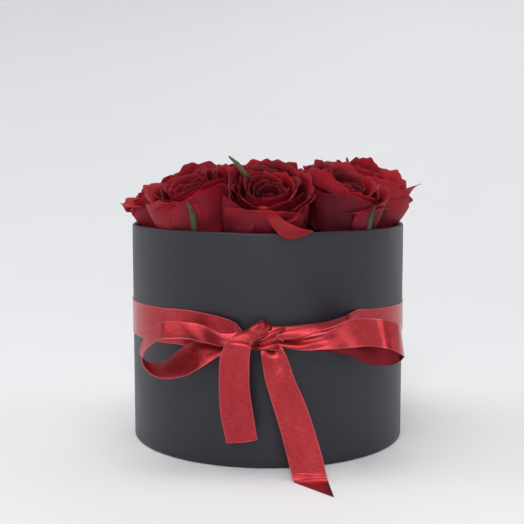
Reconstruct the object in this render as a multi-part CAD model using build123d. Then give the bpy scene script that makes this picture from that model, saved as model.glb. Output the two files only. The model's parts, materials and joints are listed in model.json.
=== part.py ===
"""Round flower box: a paper-covered board tube tied with a satin ribbon bow.

A dozen cut roses stand in soaked floral foam inside a waterproof liner. The foam and its
liner lift out of the box together, and each rose pulls out of the foam along its own stem.

Frame: millimetres, +Z up, origin at the centre of the underside, -Y is the front with the bow.
"""

import os
from math import cos, radians, sin

from build123d import *

# ---------------------------------------------------------------- driving dimensions
BOX_RADIUS = 82.5  # outside of the paper wrap
BOX_HEIGHT = 129.5

GLUE_GAP = 0.05  # between glued layers
WRAP = 0.3  # charcoal covering paper
BOARD = 2.0  # greyboard of the tube and the base disc
BASE_PAPER = 0.25
LINING = 0.25
TURN_IN = 15.0  # wrap turned down inside the rim
TURN_UNDER = 12.0  # wrap turned in under the base
RIM_ROUND = 0.9

LINER_CLEARANCE = 0.9  # loose fit of the liner in the lined tube
LINER_WALL = 0.5
LINER_HEIGHT = 86.0
FOAM_HEIGHT = 78.0
FOAM_BEVEL = 4.0

RIBBON_WIDTH = 20.0
RIBBON = 0.35  # thickness of the satin
BAND_HEIGHT = 74.0  # middle of the band at the sides of the box
BAND_LEAN = 1.7  # degrees: the knot lifts the band a little at the front

STEM_RADIUS = 2.75
STEM_FIT = 0.08  # radial clearance of a stem in its hole
STEM_FOOT = 30.0  # height of the cut end of every stem
NECK = 14.0  # stem length between the neck's bend and the flower
NECK_BEND = 18.0  # radius of that bend
HIP_RADIUS = 4.8
HIP_HEIGHT = 8.0
SEPAL = 0.6  # thickness
SEPAL_LENGTH = 14.0
BLOOM_GAP = 0.4  # each flower stands this far back from the plane it shares with the next

# Each rose: name, bearing in degrees (-90 is the front), distance of the flower's middle from
# the box's axis, height of that middle above the rim, lean of the flower and of the stem away
# from the axis in degrees, flower radius and flower length.
ROSES = [
    ("rose_01", -90, 58.0, 15.0, 33, 10, 22.5, 40),
    ("rose_02", -45, 59.0, 15.5, 28, 9, 22.0, 40),
    ("rose_03", 0, 59.5, 15.0, 28, 9, 22.5, 39),
    ("rose_04", 45, 59.0, 15.5, 24, 9, 22.5, 40),
    ("rose_05", 90, 59.0, 16.0, 24, 9, 22.5, 40),
    ("rose_06", 135, 59.0, 15.5, 24, 9, 22.5, 40),
    ("rose_07", 180, 59.5, 13.5, 30, 9, 22.0, 37),
    ("rose_08", -135, 59.0, 14.5, 27, 9, 22.5, 39),
    ("rose_09", 0, 25.0, 16.0, 6, 3, 17.5, 39),
    ("rose_10", 90, 25.0, 17.0, 5, 3, 17.5, 39),
    ("rose_11", 180, 25.0, 16.0, 6, 3, 17.5, 39),
    ("rose_12", -90, 23.0, 17.0, 5, 3, 17.5, 39),
]

# ---------------------------------------------------------------- worked-out dimensions
WALL_OUTER = BOX_RADIUS - WRAP - GLUE_GAP
WALL_INNER = WALL_OUTER - BOARD
TURN_IN_OUTER = WALL_INNER - GLUE_GAP
TURN_IN_INNER = TURN_IN_OUTER - WRAP
LINING_OUTER = TURN_IN_INNER - GLUE_GAP
LINING_INNER = LINING_OUTER - LINING

UNDER_WRAP = BASE_PAPER + GLUE_GAP  # underside of the turned-in wrap
WALL_FOOT = UNDER_WRAP + WRAP + GLUE_GAP
WALL_TOP = BOX_HEIGHT - WRAP - GLUE_GAP
BASE_TOP = WALL_FOOT + BOARD
FLOOR_TOP = BASE_TOP + GLUE_GAP + LINING

LINER_RADIUS = LINING_INNER - LINER_CLEARANCE
LINER_FOOT = FLOOR_TOP + GLUE_GAP
FOAM_RADIUS = LINER_RADIUS - LINER_WALL - 0.3
FOAM_FOOT = LINER_FOOT + LINER_WALL + 0.2
FOAM_TOP = FOAM_FOOT + FOAM_HEIGHT


def tube(outer, inner, low, high):
    """Upright ring about the box's axis."""
    body = Cylinder(outer, high - low) - Cylinder(inner, high - low)
    return Pos(0, 0, (low + high) / 2) * body


def disc(radius, low, high):
    """Upright disc about the box's axis."""
    return Pos(0, 0, (low + high) / 2) * Cylinder(radius, high - low)


# ---------------------------------------------------------------- box
def tube_wall():
    """Board tube with its rim eased."""
    wall = tube(WALL_OUTER, WALL_INNER, WALL_FOOT, WALL_TOP)
    rim = wall.edges().filter_by(GeomType.CIRCLE).group_by(Axis.Z)[-1]
    return fillet(rim, RIM_ROUND - WRAP)


def outer_wrap():
    """Charcoal paper: up the outside, over the rim and down inside, and in under the base."""
    outside = tube(BOX_RADIUS, BOX_RADIUS - WRAP, UNDER_WRAP, BOX_HEIGHT)
    rim = tube(BOX_RADIUS, TURN_IN_INNER, BOX_HEIGHT - WRAP, BOX_HEIGHT)
    inside = tube(TURN_IN_OUTER, TURN_IN_INNER, BOX_HEIGHT - TURN_IN, BOX_HEIGHT)
    under = tube(BOX_RADIUS, BOX_RADIUS - TURN_UNDER, UNDER_WRAP, UNDER_WRAP + WRAP)
    paper = outside + rim + inside + under
    circles = paper.edges().filter_by(GeomType.CIRCLE).group_by(Axis.Z)
    paper = fillet(circles[-1], WRAP * 0.9)
    foot = paper.edges().filter_by(GeomType.CIRCLE).group_by(Axis.Z)[0]
    return fillet(foot.group_by(SortBy.LENGTH)[-1], WRAP * 0.9)


def base_disc():
    """Board disc glued inside the foot of the tube."""
    return disc(WALL_INNER - GLUE_GAP, WALL_FOOT, BASE_TOP)


def base_paper():
    """Charcoal paper disc over the underside; the box stands on it."""
    return disc(BOX_RADIUS - 2.5, 0, BASE_PAPER)


def inner_lining():
    """Paper lining of the wall, its top edge lapping the turned-in wrap."""
    return tube(LINING_OUTER, LINING_INNER, BASE_TOP + GLUE_GAP, BOX_HEIGHT - 6.0)


def floor_paper():
    """Paper disc on the floor of the box."""
    return disc(LINING_INNER - 0.3, BASE_TOP + GLUE_GAP, FLOOR_TOP)


# ---------------------------------------------------------------- liner and foam
def liner():
    """Thin waterproof cup that holds the soaked foam."""
    cup = disc(LINER_RADIUS, LINER_FOOT, LINER_FOOT + LINER_HEIGHT)
    cup = fillet(cup.edges().group_by(Axis.Z)[0], 3.0)
    low = LINER_FOOT + LINER_WALL
    hollow = disc(LINER_RADIUS - LINER_WALL, low, low + LINER_HEIGHT)
    return cup - fillet(hollow.edges().group_by(Axis.Z)[0], 2.5)


def foam_block(roses):
    """Round block of floral foam with a blind hole for every stem."""
    block = disc(FOAM_RADIUS, FOAM_FOOT, FOAM_TOP)
    block = chamfer(block.edges().group_by(Axis.Z)[-1], FOAM_BEVEL)
    block = fillet(block.edges().group_by(Axis.Z)[0], 3.0)
    for rose in roses:
        block -= rose.hole()
    return block


# ---------------------------------------------------------------- roses
class Rose:
    """One cut rose: a bent stem with its hip, five sepals and the flower."""

    def __init__(self, name, bearing, distance, above_rim, lean, stem_lean, radius, length):
        self.name = name
        self.radius = radius
        self.length = length
        self.out = Vector(cos(radians(bearing)), sin(radians(bearing)), 0)
        # the sepals straddle the side that faces the other ring of roses
        self.first_sepal = 90 if distance > BOX_RADIUS / 2 else 54
        self.axis = self.direction(lean)
        self.stem_axis = self.direction(stem_lean)
        self.middle = self.out * distance + Vector(0, 0, BOX_HEIGHT + above_rim)
        self.foot = self.middle - self.axis * (length / 2)

    def direction(self, lean):
        """Unit vector leaning away from the box's axis."""
        return self.out * sin(radians(lean)) + Vector(0, 0, cos(radians(lean)))

    def place(self, shape):
        """Puts a shape drawn about +Z, with its flower's foot at the origin, on this rose."""
        at = Plane(origin=self.foot, x_dir=self.out.cross(self.axis), z_dir=self.axis)
        return at.location * shape

    def bend(self):
        return self.foot - self.axis * NECK

    def cut_end(self):
        drop = (self.bend().Z - STEM_FOOT) / self.stem_axis.Z
        return self.bend() - self.stem_axis * drop

    def stem(self):
        """Stem with a bent neck, swelling into the hip under the flower."""
        path = FilletPolyline(self.foot, self.bend(), self.cut_end(), radius=NECK_BEND)
        start = Plane(origin=self.foot, z_dir=-self.axis)
        rod = sweep(start * Circle(STEM_RADIUS), path=path)
        outline = Polyline((STEM_RADIUS - 0.4, -HIP_HEIGHT), (0, -HIP_HEIGHT), (0, 0), (4.4, 0))
        side = ThreePointArc((4.4, 0), (HIP_RADIUS, -3.4), (STEM_RADIUS - 0.4, -HIP_HEIGHT))
        hip = revolve(Plane.XZ * make_face(outline + side), Axis.Z)
        return rod + self.place(hip)

    def hole(self):
        """Cylinder that the stem is pushed down, open at the top of the foam."""
        end = self.cut_end() - self.stem_axis * 0.5
        length = FOAM_TOP + 20 - end.Z
        at = Plane(origin=end + self.stem_axis * (length / 2), z_dir=self.stem_axis)
        return at.location * Cylinder(STEM_RADIUS + STEM_FIT, length)

    def sepals(self):
        """Five pointed green sepals on a small collar round the top of the hip."""
        collar = Pos(0, 0, -0.6) * (Cylinder(5.7, 1.1) - Cylinder(HIP_RADIUS + 0.15, 1.1))
        tip = (SEPAL_LENGTH, 0)
        outline = ThreePointArc((0, -2.2), (0.4 * SEPAL_LENGTH, -2.8), tip)
        outline += ThreePointArc(tip, (0.4 * SEPAL_LENGTH, 2.8), (0, 2.2))
        outline += Line((0, 2.2), (0, -2.2))
        blade = extrude(make_face(outline), SEPAL)
        blade = Pos(5.2, 0, -1.15) * Rot(0, -34, 0) * blade
        green = collar
        for turn in range(5):
            green += Rot(0, 0, self.first_sepal + 72 * turn) * blade
        return self.place(green)

    def petals(self, others):
        """Plain body of the flower, flattened where it presses on its neighbours."""
        middle = 0.5 * self.length
        outline = Polyline((0, self.length), (0, 0.05), (5.5, 0.05), (13.0, 6.5))
        outline += ThreePointArc((13.0, 6.5), (0.88 * self.radius, 0.3 * self.length),
                                 (self.radius, middle))
        outline += ThreePointArc((self.radius, middle), (0.9 * self.radius, 0.8 * self.length),
                                 (0.55 * self.radius, self.length))
        outline += Line((0.55 * self.radius, self.length), (0, self.length))
        flower = self.place(revolve(Plane.XZ * make_face(outline), Axis.Z))
        for other in others:
            flower = self.flatten(flower, other)
        return flower

    def flatten(self, flower, other):
        """Cuts the flower at the plane it shares with another rose, if they meet.

        The plane is turned so that neither flower crosses it as its own stem is pulled."""
        towards = other.middle - self.middle
        gap = towards.length
        if gap > self.radius + other.radius + 2:
            return flower
        level = Vector(towards.X, towards.Y, 0).normalized()
        normal = level
        if level.dot(self.stem_axis) > 0:
            normal = level - self.stem_axis * level.dot(self.stem_axis)
        if level.dot(other.stem_axis) < 0:
            normal = level - other.stem_axis * level.dot(other.stem_axis)
        normal = normal.normalized()
        share = (gap**2 + self.radius**2 - other.radius**2) / (2 * gap)
        point = self.middle + towards.normalized() * share - normal * BLOOM_GAP
        beyond = Plane(origin=point, z_dir=normal) * Pos(0, 0, 60) * Box(160, 160, 120)
        return flower - beyond


# ---------------------------------------------------------------- ribbon
def ribbon_strip(stations):
    """Strip of ribbon through pairs of edge points, one pair for each station.

    Where the pair is closer than the ribbon is wide the ribbon is gathered, so the strip is
    thicker there and keeps the same section area."""
    edges = [(Vector(*one), Vector(*two)) for one, two in stations]
    middles = [(one + two) * 0.5 for one, two in edges]
    sections = []
    for i, (one, two) in enumerate(edges):
        along = middles[min(i + 1, len(edges) - 1)] - middles[max(i - 1, 0)]
        across = two - one
        normal = along.cross(across).normalized()
        half = 0.5 * RIBBON * min(max(RIBBON_WIDTH / across.length, 1.0), 2.5)
        corners = [one - normal * half, two - normal * half, two + normal * half, one + normal * half]
        sections.append(Wire.make_polygon(corners, close=True))
    return Solid.make_loft(sections, ruled=True)


def ribbon_band():
    """Satin ribbon round the tube, a little higher at the front."""
    ring = tube(BOX_RADIUS + GLUE_GAP + RIBBON, BOX_RADIUS + GLUE_GAP, 50, 100)
    slab = Box(200, 200, RIBBON_WIDTH)
    return ring & (Pos(0, 0, BAND_HEIGHT) * Rot(-BAND_LEAN, 0, 0) * slab)


def bow_knot():
    """Turns of ribbon pulled tight over the band."""
    block = Pos(0, -88.2, 74.5) * Box(18, 10, 11)
    return fillet(block.edges(), 3.4)


def bow_loop_left():
    """Loop seen end on: pairs are its near rim and its rim by the wall."""
    return ribbon_strip([
        ((-8, -90, 71), (-8, -86, 77.5)),
        ((-23, -94, 71), (-23, -86, 77)),
        ((-33, -96, 73.5), (-34, -84, 80)),
        ((-42, -97, 75.5), (-43, -82, 82)),
        ((-50, -97, 76), (-51, -80, 82)),
        ((-57, -96, 74.5), (-59, -77.5, 80)),
        ((-63, -93, 70.5), (-66, -73.5, 74)),
        ((-66.5, -90, 64), (-70, -71, 65)),
        ((-65.5, -90, 58), (-68.5, -72, 59.5)),
        ((-59, -92, 53.5), (-62, -76, 57.5)),
        ((-50, -94, 52.5), (-53, -79, 61)),
        ((-42, -95, 55.5), (-46, -81, 67)),
        ((-34, -95, 60), (-38, -83, 70)),
        ((-23, -91, 66), (-26, -85.5, 71)),
        ((-8, -88, 69.5), (-8, -85.5, 73.5)),
    ])


def bow_loop_right():
    """Loop seen side on: pairs are its upper and its lower edge."""
    return ribbon_strip([
        ((7, -90, 76), (7, -91, 70)),
        ((17, -92.5, 76), (17, -93.5, 68.5)),
        ((30, -94.5, 79), (29, -96, 68.5)),
        ((42, -95.5, 84), (41, -97.5, 69.5)),
        ((53, -95, 85.5), (53, -98, 70.5)),
        ((63, -90.5, 84), (65, -95, 68.5)),
        ((68.5, -82, 80), (73, -86, 63)),
        ((69, -75, 77), (74, -78, 59.5)),
        ((64, -71, 75), (69, -74, 56.5)),
        ((57, -72, 75), (61, -74, 55.5)),
        ((49, -75, 77), (52, -77, 58)),
        ((41, -78.5, 79), (43, -80, 63)),
        ((31, -82.5, 77), (32, -84, 65)),
        ((17, -85, 75), (17, -87, 67.5)),
        ((7, -85, 74), (7, -86.5, 70)),
    ])


def bow_tail_left():
    """Short tail: over the knot from its top right, then down the front."""
    return ribbon_strip([
        ((0, -86, 83.5), (5, -86, 79)),
        ((-4, -91, 83), (1.5, -92, 77)),
        ((-10, -95.5, 80), (-3, -97.5, 75.5)),
        ((-17, -99, 77.5), (-8, -101, 74.5)),
        ((-22.5, -101, 73), (-9, -102.5, 70)),
        ((-25, -100.5, 65), (-9.5, -101.5, 64)),
        ((-26, -97, 50), (-9.5, -98, 50)),
        ((-25, -91.5, 33), (-7.5, -92.5, 32)),
        ((-22.3, -87, 16), (-5.7, -87.5, 18)),
    ])


def bow_tail_right():
    """Long tail: out from under the knot, down the front and on to the surface below."""
    flat = RIBBON / 2 + 0.05
    return ribbon_strip([
        ((-4, -90, 71), (5.5, -90, 71)),
        ((-3, -94, 63), (11, -94, 63)),
        ((-1.5, -96, 52.5), (15, -96, 51.5)),
        ((2.5, -97.5, 40), (20.3, -97.5, 39)),
        ((7, -98.5, 25), (25.5, -98.5, 24)),
        ((10.2, -99, 12), (28.6, -99, 12)),
        ((11.8, -100.2, 5.5), (30.3, -100.2, 5.5)),
        ((13, -102.7, 1.7), (31.5, -103, 1.7)),
        ((13.6, -105.5, flat), (32, -107.5, flat)),
        ((31.6, -127.5, flat), (33.4, -128.5, flat)),
    ])


# ---------------------------------------------------------------- output
def main():
    roses = [Rose(*row) for row in ROSES]
    nodes = {
        "tube_wall": tube_wall(),
        "outer_wrap": outer_wrap(),
        "base_disc": base_disc(),
        "base_paper": base_paper(),
        "inner_lining": inner_lining(),
        "floor_paper": floor_paper(),
        "liner": liner(),
        "foam_block": foam_block(roses),
        "ribbon_band": ribbon_band(),
        "bow_knot": bow_knot(),
        "bow_loop_left": bow_loop_left(),
        "bow_loop_right": bow_loop_right(),
        "bow_tail_left": bow_tail_left(),
        "bow_tail_right": bow_tail_right(),
    }
    for rose in roses:
        others = [other for other in roses if other is not rose]
        nodes[rose.name + "_stem"] = rose.stem()
        nodes[rose.name + "_sepals"] = rose.sepals()
        nodes[rose.name + "_petals"] = rose.petals(others)
        axis = rose.stem_axis
        print(rose.name, "slides along", round(axis.X, 5), round(axis.Y, 5), round(axis.Z, 5))
    os.makedirs("parts", exist_ok=True)
    for name, shape in nodes.items():
        export_step(shape, f"parts/{name}.step")


main()
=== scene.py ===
"""Looks of the round flower box: satin bow, papered box and a dozen red roses.

Metres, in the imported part's own frame: +Z up, origin under the middle of the box, -Y the front.
Shapes are worked out in millimetres and scaled by MM when a mesh is made.
"""

import json
import math

import bpy
import numpy as np
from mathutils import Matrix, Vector


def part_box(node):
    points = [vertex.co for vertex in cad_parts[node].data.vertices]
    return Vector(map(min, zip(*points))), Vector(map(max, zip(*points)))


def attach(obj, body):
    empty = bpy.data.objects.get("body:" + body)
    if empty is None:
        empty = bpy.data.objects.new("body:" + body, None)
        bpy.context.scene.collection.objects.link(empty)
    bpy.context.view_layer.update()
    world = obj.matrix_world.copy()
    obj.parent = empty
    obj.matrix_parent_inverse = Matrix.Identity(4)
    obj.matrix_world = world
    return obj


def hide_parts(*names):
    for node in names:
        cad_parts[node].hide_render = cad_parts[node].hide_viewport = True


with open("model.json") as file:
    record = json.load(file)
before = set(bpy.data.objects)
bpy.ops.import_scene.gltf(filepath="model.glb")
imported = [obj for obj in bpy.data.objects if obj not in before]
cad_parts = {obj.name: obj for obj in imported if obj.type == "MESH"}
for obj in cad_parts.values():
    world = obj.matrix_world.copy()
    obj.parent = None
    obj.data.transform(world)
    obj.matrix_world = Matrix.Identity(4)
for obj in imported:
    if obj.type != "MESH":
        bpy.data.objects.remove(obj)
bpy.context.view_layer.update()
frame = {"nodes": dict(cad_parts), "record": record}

MM = 0.001
box_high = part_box("outer_wrap")[1]
BOX_RADIUS = round(box_high.x / MM, 1)
BOX_HEIGHT = round(box_high.z / MM, 1)
RIBBON_WIDTH = 20.0
RIBBON_THICKNESS = 0.3


# ---------------------------------------------------------------- small helpers
def smooth(x):
    """0 below 0, 1 above 1, and a smooth step between."""
    x = np.clip(x, 0.0, 1.0)
    return x * x * (3 - 2 * x)


def unit(v):
    return v / np.maximum(np.linalg.norm(v, axis=-1, keepdims=True), 1e-9)


def new_mesh(name, verts, faces, material, layers=None, uv=None):
    """Mesh object from millimetre points. layers maps a name to one number per point."""
    mesh = bpy.data.meshes.new(name)
    faces = faces.tolist() if isinstance(faces, np.ndarray) else faces
    mesh.from_pydata((np.asarray(verts) * MM).tolist(), [], faces)
    mesh.update()
    mesh.shade_smooth()
    for key, values in (layers or {}).items():
        attribute = mesh.attributes.new(key, "FLOAT", "POINT")
        attribute.data.foreach_set("value", np.asarray(values, np.float32).ravel())
    if uv is not None:
        loops = np.empty(len(mesh.loops), np.int32)
        mesh.loops.foreach_get("vertex_index", loops)
        layer = mesh.uv_layers.new(name="UVMap")
        layer.data.foreach_set("uv", np.asarray(uv, np.float32)[loops].ravel())
    mesh.materials.append(material)
    obj = bpy.data.objects.new(name, mesh)
    bpy.context.scene.collection.objects.link(obj)
    return obj


def ring_faces(turns, count):
    """Quads of a surface of revolution: count points at each of the turns round the axis."""
    faces = []
    for i in range(turns):
        for j in range(count - 1):
            a = i * count + j
            b = ((i + 1) % turns) * count + j
            faces.append((a, b, b + 1, a + 1))
    return faces


def shell(sheet, half):
    """Thin closed body round a grid of points, half as thick as given on each side.

    Returns its points, its faces and which points lie on the second side."""
    rows, cols = sheet.shape[:2]
    normal = unit(np.cross(np.gradient(sheet, axis=0), np.gradient(sheet, axis=1)))
    offset = normal * np.broadcast_to(half, (rows, cols))[..., None]
    verts = np.concatenate([(sheet + offset).reshape(-1, 3), (sheet - offset).reshape(-1, 3)])
    count = rows * cols
    number = np.arange(count).reshape(rows, cols)
    quads = np.stack([number[:-1, :-1], number[1:, :-1], number[1:, 1:], number[:-1, 1:]], -1)
    quads = quads.reshape(-1, 4)
    rim = np.concatenate([number[:, 0], number[-1, 1:], number[-2::-1, -1], number[0, -2:0:-1]])
    after = np.roll(rim, -1)
    edge = np.stack([after, rim, rim + count, after + count], -1)
    faces = np.concatenate([quads, quads[:, ::-1] + count, edge])
    second = np.repeat([0.0, 1.0], count)
    return verts, faces, second


def spline(points, count):
    """Catmull-Rom curve through the points. Each span between two gets an equal share of count."""
    p = np.asarray(points, float)
    p = np.vstack([2 * p[0] - p[1], p, 2 * p[-1] - p[-2]])
    t = np.linspace(0, len(points) - 1, count)
    i = np.minimum(t.astype(int), len(points) - 2)
    f = (t - i)[:, None]
    a, b, c, d = p[i], p[i + 1], p[i + 2], p[i + 3]
    return 0.5 * (2 * b + (c - a) * f + (2 * a - 5 * b + 4 * c - d) * f**2
                  + (3 * b - a - 3 * c + d) * f**3)


# ---------------------------------------------------------------- materials
class Shader:
    """A Principled material with a few short ways to wire texture nodes."""

    def __init__(self, name):
        self.material = bpy.data.materials.new(name)
        self.material.use_nodes = True
        self.nodes = self.material.node_tree.nodes
        self.links = self.material.node_tree.links
        self.bsdf = self.nodes["Principled BSDF"]

    def set(self, **values):
        for key, value in values.items():
            self.bsdf.inputs[key.replace("_", " ")].default_value = value
        return self

    def node(self, kind, inputs=None, **settings):
        made = self.nodes.new(kind)
        for key, value in settings.items():
            setattr(made, key, value)
        for key, value in (inputs or {}).items():
            if isinstance(value, bpy.types.NodeSocket):
                self.links.new(value, made.inputs[key])
            else:
                made.inputs[key].default_value = value
        return made

    def link(self, socket, name):
        self.links.new(socket, self.bsdf.inputs[name])

    def place(self, scale=(1, 1, 1)):
        """Object coordinates in metres, stretched by scale."""
        coords = self.node("ShaderNodeTexCoord").outputs["Object"]
        return self.node("ShaderNodeMapping", {"Vector": coords, "Scale": scale}).outputs["Vector"]

    def noise(self, where, scale, detail, roughness=0.5):
        made = self.node("ShaderNodeTexNoise", {"Vector": where, "Scale": scale,
                                                "Detail": detail, "Roughness": roughness})
        return made.outputs["Fac"]

    def attribute(self, name):
        return self.node("ShaderNodeAttribute", attribute_name=name).outputs["Fac"]

    def ramp(self, factor, stops):
        made = self.node("ShaderNodeValToRGB", {"Fac": factor})
        ramp = made.color_ramp
        while len(ramp.elements) < len(stops):
            ramp.elements.new(0.5)
        for element, (position, color) in zip(ramp.elements, stops):
            element.position = position
            element.color = (*color, 1.0)
        return made.outputs["Color"]

    def span(self, value, low, high, to_low, to_high):
        made = self.node("ShaderNodeMapRange", {"Value": value, "From Min": low, "From Max": high,
                                                "To Min": to_low, "To Max": to_high})
        return made.outputs["Result"]

    def math(self, operation, a, b):
        return self.node("ShaderNodeMath", {0: a, 1: b}, operation=operation).outputs["Value"]

    def mix(self, factor, a, b):
        """Colour a where factor is 0 and b where it is 1."""
        made = self.node("ShaderNodeMix", data_type="RGBA")
        for socket, value in zip((made.inputs[0], made.inputs[6], made.inputs[7]), (factor, a, b)):
            if isinstance(value, bpy.types.NodeSocket):
                self.links.new(value, socket)
            else:
                socket.default_value = value if socket.type == "VALUE" else (*value, 1.0)
        return made.outputs[2]

    def bump(self, height, strength, distance):
        made = self.node("ShaderNodeBump", {"Height": height, "Strength": strength,
                                            "Distance": distance})
        self.link(made.outputs["Normal"], "Normal")
        return self


def paper(name, dark, light, roughness, grain=1.0):
    """Dyed paper: faint mottling, fibres and a fine tooth."""
    s = Shader(name).set(Specular_IOR_Level=0.46)
    fibre = s.noise(s.place((1, 1, 0.35)), 900, 4, 0.65)
    cloud = s.noise(s.place(), 22, 3)
    tone = s.math("ADD", s.math("MULTIPLY", fibre, 0.5), s.math("MULTIPLY", cloud, 0.5))
    s.link(s.ramp(tone, [(0.3, dark), (0.7, light)]), "Base Color")
    s.link(s.span(cloud, 0.3, 0.7, roughness - 0.04, roughness + 0.05), "Roughness")
    s.bump(s.noise(s.place(), 1400, 4, 0.7), 0.18 * grain, 0.0002)
    return s.material


def satin():
    """Red satin ribbon: long floats that shine across each bend, edges paler with a painted highlight,
    and painted shade where the ribbon lies in shade or turns from the light.
    """
    s = Shader("satin_ribbon").set(Metallic=0.76, Anisotropic=0.92, Specular_IOR_Level=0.6,
                                   Sheen_Weight=0.05, Sheen_Roughness=0.3)
    s.bsdf.inputs["Sheen Tint"].default_value = (1.0, 0.45, 0.5, 1)
    s.link(s.node("ShaderNodeTangent", direction_type="UV_MAP", uv_map="UVMap").outputs[0],
           "Tangent")
    across, along, edge = s.attribute("across"), s.attribute("along"), s.attribute("edge")
    where = s.node("ShaderNodeCombineXYZ", {"X": across, "Y": along}).outputs["Vector"]

    def threads(scale, detail):
        stretched = s.node("ShaderNodeMapping", {"Vector": where, "Scale": scale})
        return s.noise(stretched.outputs["Vector"], 1.0, detail, 0.6)

    floats, picks = threads((5.0, 0.5, 1), 2), threads((0.25, 1.5, 1), 3)
    cloud = threads((0.10, 0.05, 1), 3)
    tone = s.math("ADD", s.math("MULTIPLY", cloud, 0.35), s.math("MULTIPLY", picks, 0.65))
    body = s.ramp(tone, [(0.34, (0.31, 0.016, 0.023)), (0.66, (0.55, 0.043, 0.056))])
    # painted highlight: the edges are paler where the selvedges catch the light
    lit_edges = s.mix(edge, body, (0.56, 0.10, 0.12))
    # painted shade: an attribute darkens the ribbon to a deep red where it lies in shade or turns away
    # from the light
    s.link(s.mix(s.attribute("painted_shade_amount"), lit_edges, (0.20, 0.006, 0.014)), "Base Color")
    s.link(s.span(picks, 0.3, 0.7, 0.27, 0.35), "Roughness")
    s.bump(s.math("ADD", s.math("MULTIPLY", floats, 0.6), picks), 0.26, 0.00022)
    return s.material


def petal_skin():
    """Velvety rose petal: painted shade darkens it towards its foot, deep in the flower; brighter
    towards the rim, with a darker line along the very edge; faint veins.
    """
    s = Shader("rose_petal").set(Specular_IOR_Level=0.22, Sheen_Weight=0.04, Sheen_Roughness=0.4,
                                 Subsurface_Weight=0.25, Subsurface_Scale=0.002)
    s.bsdf.inputs["Sheen Tint"].default_value = (1.0, 0.28, 0.34, 1)
    s.bsdf.inputs["Subsurface Radius"].default_value = (1.0, 0.15, 0.12)
    rim, across, tone = s.attribute("rim"), s.attribute("across"), s.attribute("tone")
    where = s.node("ShaderNodeCombineXYZ", {"X": s.math("MULTIPLY", across, 16.0),
                                            "Y": s.math("MULTIPLY", rim, 1.6), "Z": tone})
    veins = s.noise(where.outputs["Vector"], 1.0, 4, 0.6)
    patches = s.noise(s.place(), 95, 3, 0.55)
    # painted shade: darker towards the foot of the petal, deep in the flower; brighter towards the rim
    length = s.ramp(rim, [(0.0, (0.012, 0.001, 0.002)), (0.50, (0.060, 0.001, 0.004)),
                          (0.82, (0.21, 0.004, 0.011)), (0.96, (0.39, 0.008, 0.019)),
                          (1.0, (0.16, 0.004, 0.009))])
    # the outer side is paler and pinker: partly the petal's own colour, partly a painted sheen
    side = s.mix(s.math("MULTIPLY", s.attribute("outside"), 0.55), length, (0.31, 0.015, 0.034))
    # painted shade: a darker tone mixes in near-black red for heart petals and listed petals in shade;
    # elsewhere tone differs at random
    shade = s.mix(s.span(tone, 0, 1, 0.0, 0.9), side, (0.036, 0.001, 0.007))
    bright = s.math("MULTIPLY", s.span(patches, 0.42, 0.72, 0.0, 0.6), s.span(tone, 0, 1, 1, 0.2))
    light = s.mix(bright, shade, (0.45, 0.008, 0.019))
    s.link(s.mix(s.span(veins, 0.4, 0.75, 0.0, 0.22), light, (0.16, 0.002, 0.012)), "Base Color")
    s.link(s.span(patches, 0.3, 0.7, 0.54, 0.70), "Roughness")
    s.bump(veins, 0.22, 0.0004)
    return s.material


def leaf_green(name, dark, light, blush):
    """Green of sepals and stems, with a reddish blush and fine ribs along the growth."""
    s = Shader(name).set(Specular_IOR_Level=0.4, Sheen_Weight=0.15)
    ribs = s.noise(s.place((1, 1, 0.12)), 700, 3, 0.6)
    cloud = s.noise(s.place(), 130, 3)
    green = s.ramp(ribs, [(0.3, dark), (0.7, light)])
    s.link(s.mix(s.span(cloud, 0.45, 0.75, 0.0, 0.55), green, blush), "Base Color")
    s.link(s.span(cloud, 0.3, 0.7, 0.42, 0.6), "Roughness")
    return s.bump(ribs, 0.3, 0.0005).material


def foam():
    """Wet floral foam: dense fine cells."""
    s = Shader("floral_foam").set(Specular_IOR_Level=0.3)
    cells = s.node("ShaderNodeTexVoronoi", {"Vector": s.place(), "Scale": 900.0})
    crumbs = s.noise(s.place(), 260, 4, 0.65)
    s.link(s.ramp(crumbs, [(0.3, (0.022, 0.085, 0.035)), (0.7, (0.055, 0.17, 0.075))]), "Base Color")
    s.link(s.span(crumbs, 0.3, 0.7, 0.7, 0.95), "Roughness")
    height = s.math("ADD", cells.outputs["Distance"], crumbs)
    return s.bump(height, 0.6, 0.0006).material


def liner_plastic():
    """Thin milky waterproof plastic."""
    s = Shader("liner_plastic").set(Specular_IOR_Level=0.5, Transmission_Weight=0.35)
    cloud = s.noise(s.place((1, 1, 0.3)), 60, 3)
    s.link(s.ramp(cloud, [(0.3, (0.60, 0.65, 0.655)), (0.7, (0.66, 0.705, 0.705))]), "Base Color")
    s.link(s.span(cloud, 0.3, 0.7, 0.27, 0.34), "Roughness")
    return s.bump(s.noise(s.place((1, 1, 0.2)), 180, 3), 0.06, 0.0006).material


MATERIALS = {
    "charcoal_paper": paper("charcoal_paper", (0.0105, 0.0098, 0.0165), (0.0190, 0.0178, 0.0270), 0.43),
    "lining_paper": paper("lining_paper", (0.020, 0.020, 0.023), (0.030, 0.030, 0.034), 0.75),
    "greyboard": paper("greyboard", (0.23, 0.21, 0.18), (0.36, 0.33, 0.29), 0.85, 2.5),
    "liner_plastic": liner_plastic(),
    "floral_foam": foam(),
    "satin_ribbon": satin(),
    "rose_petal": petal_skin(),
    "rose_sepal": leaf_green("rose_sepal", (0.028, 0.037, 0.011), (0.073, 0.084, 0.024),
                             (0.075, 0.030, 0.02)),
    "rose_stem": leaf_green("rose_stem", (0.05, 0.12, 0.03), (0.12, 0.22, 0.06),
                            (0.16, 0.07, 0.035)),
}


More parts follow.
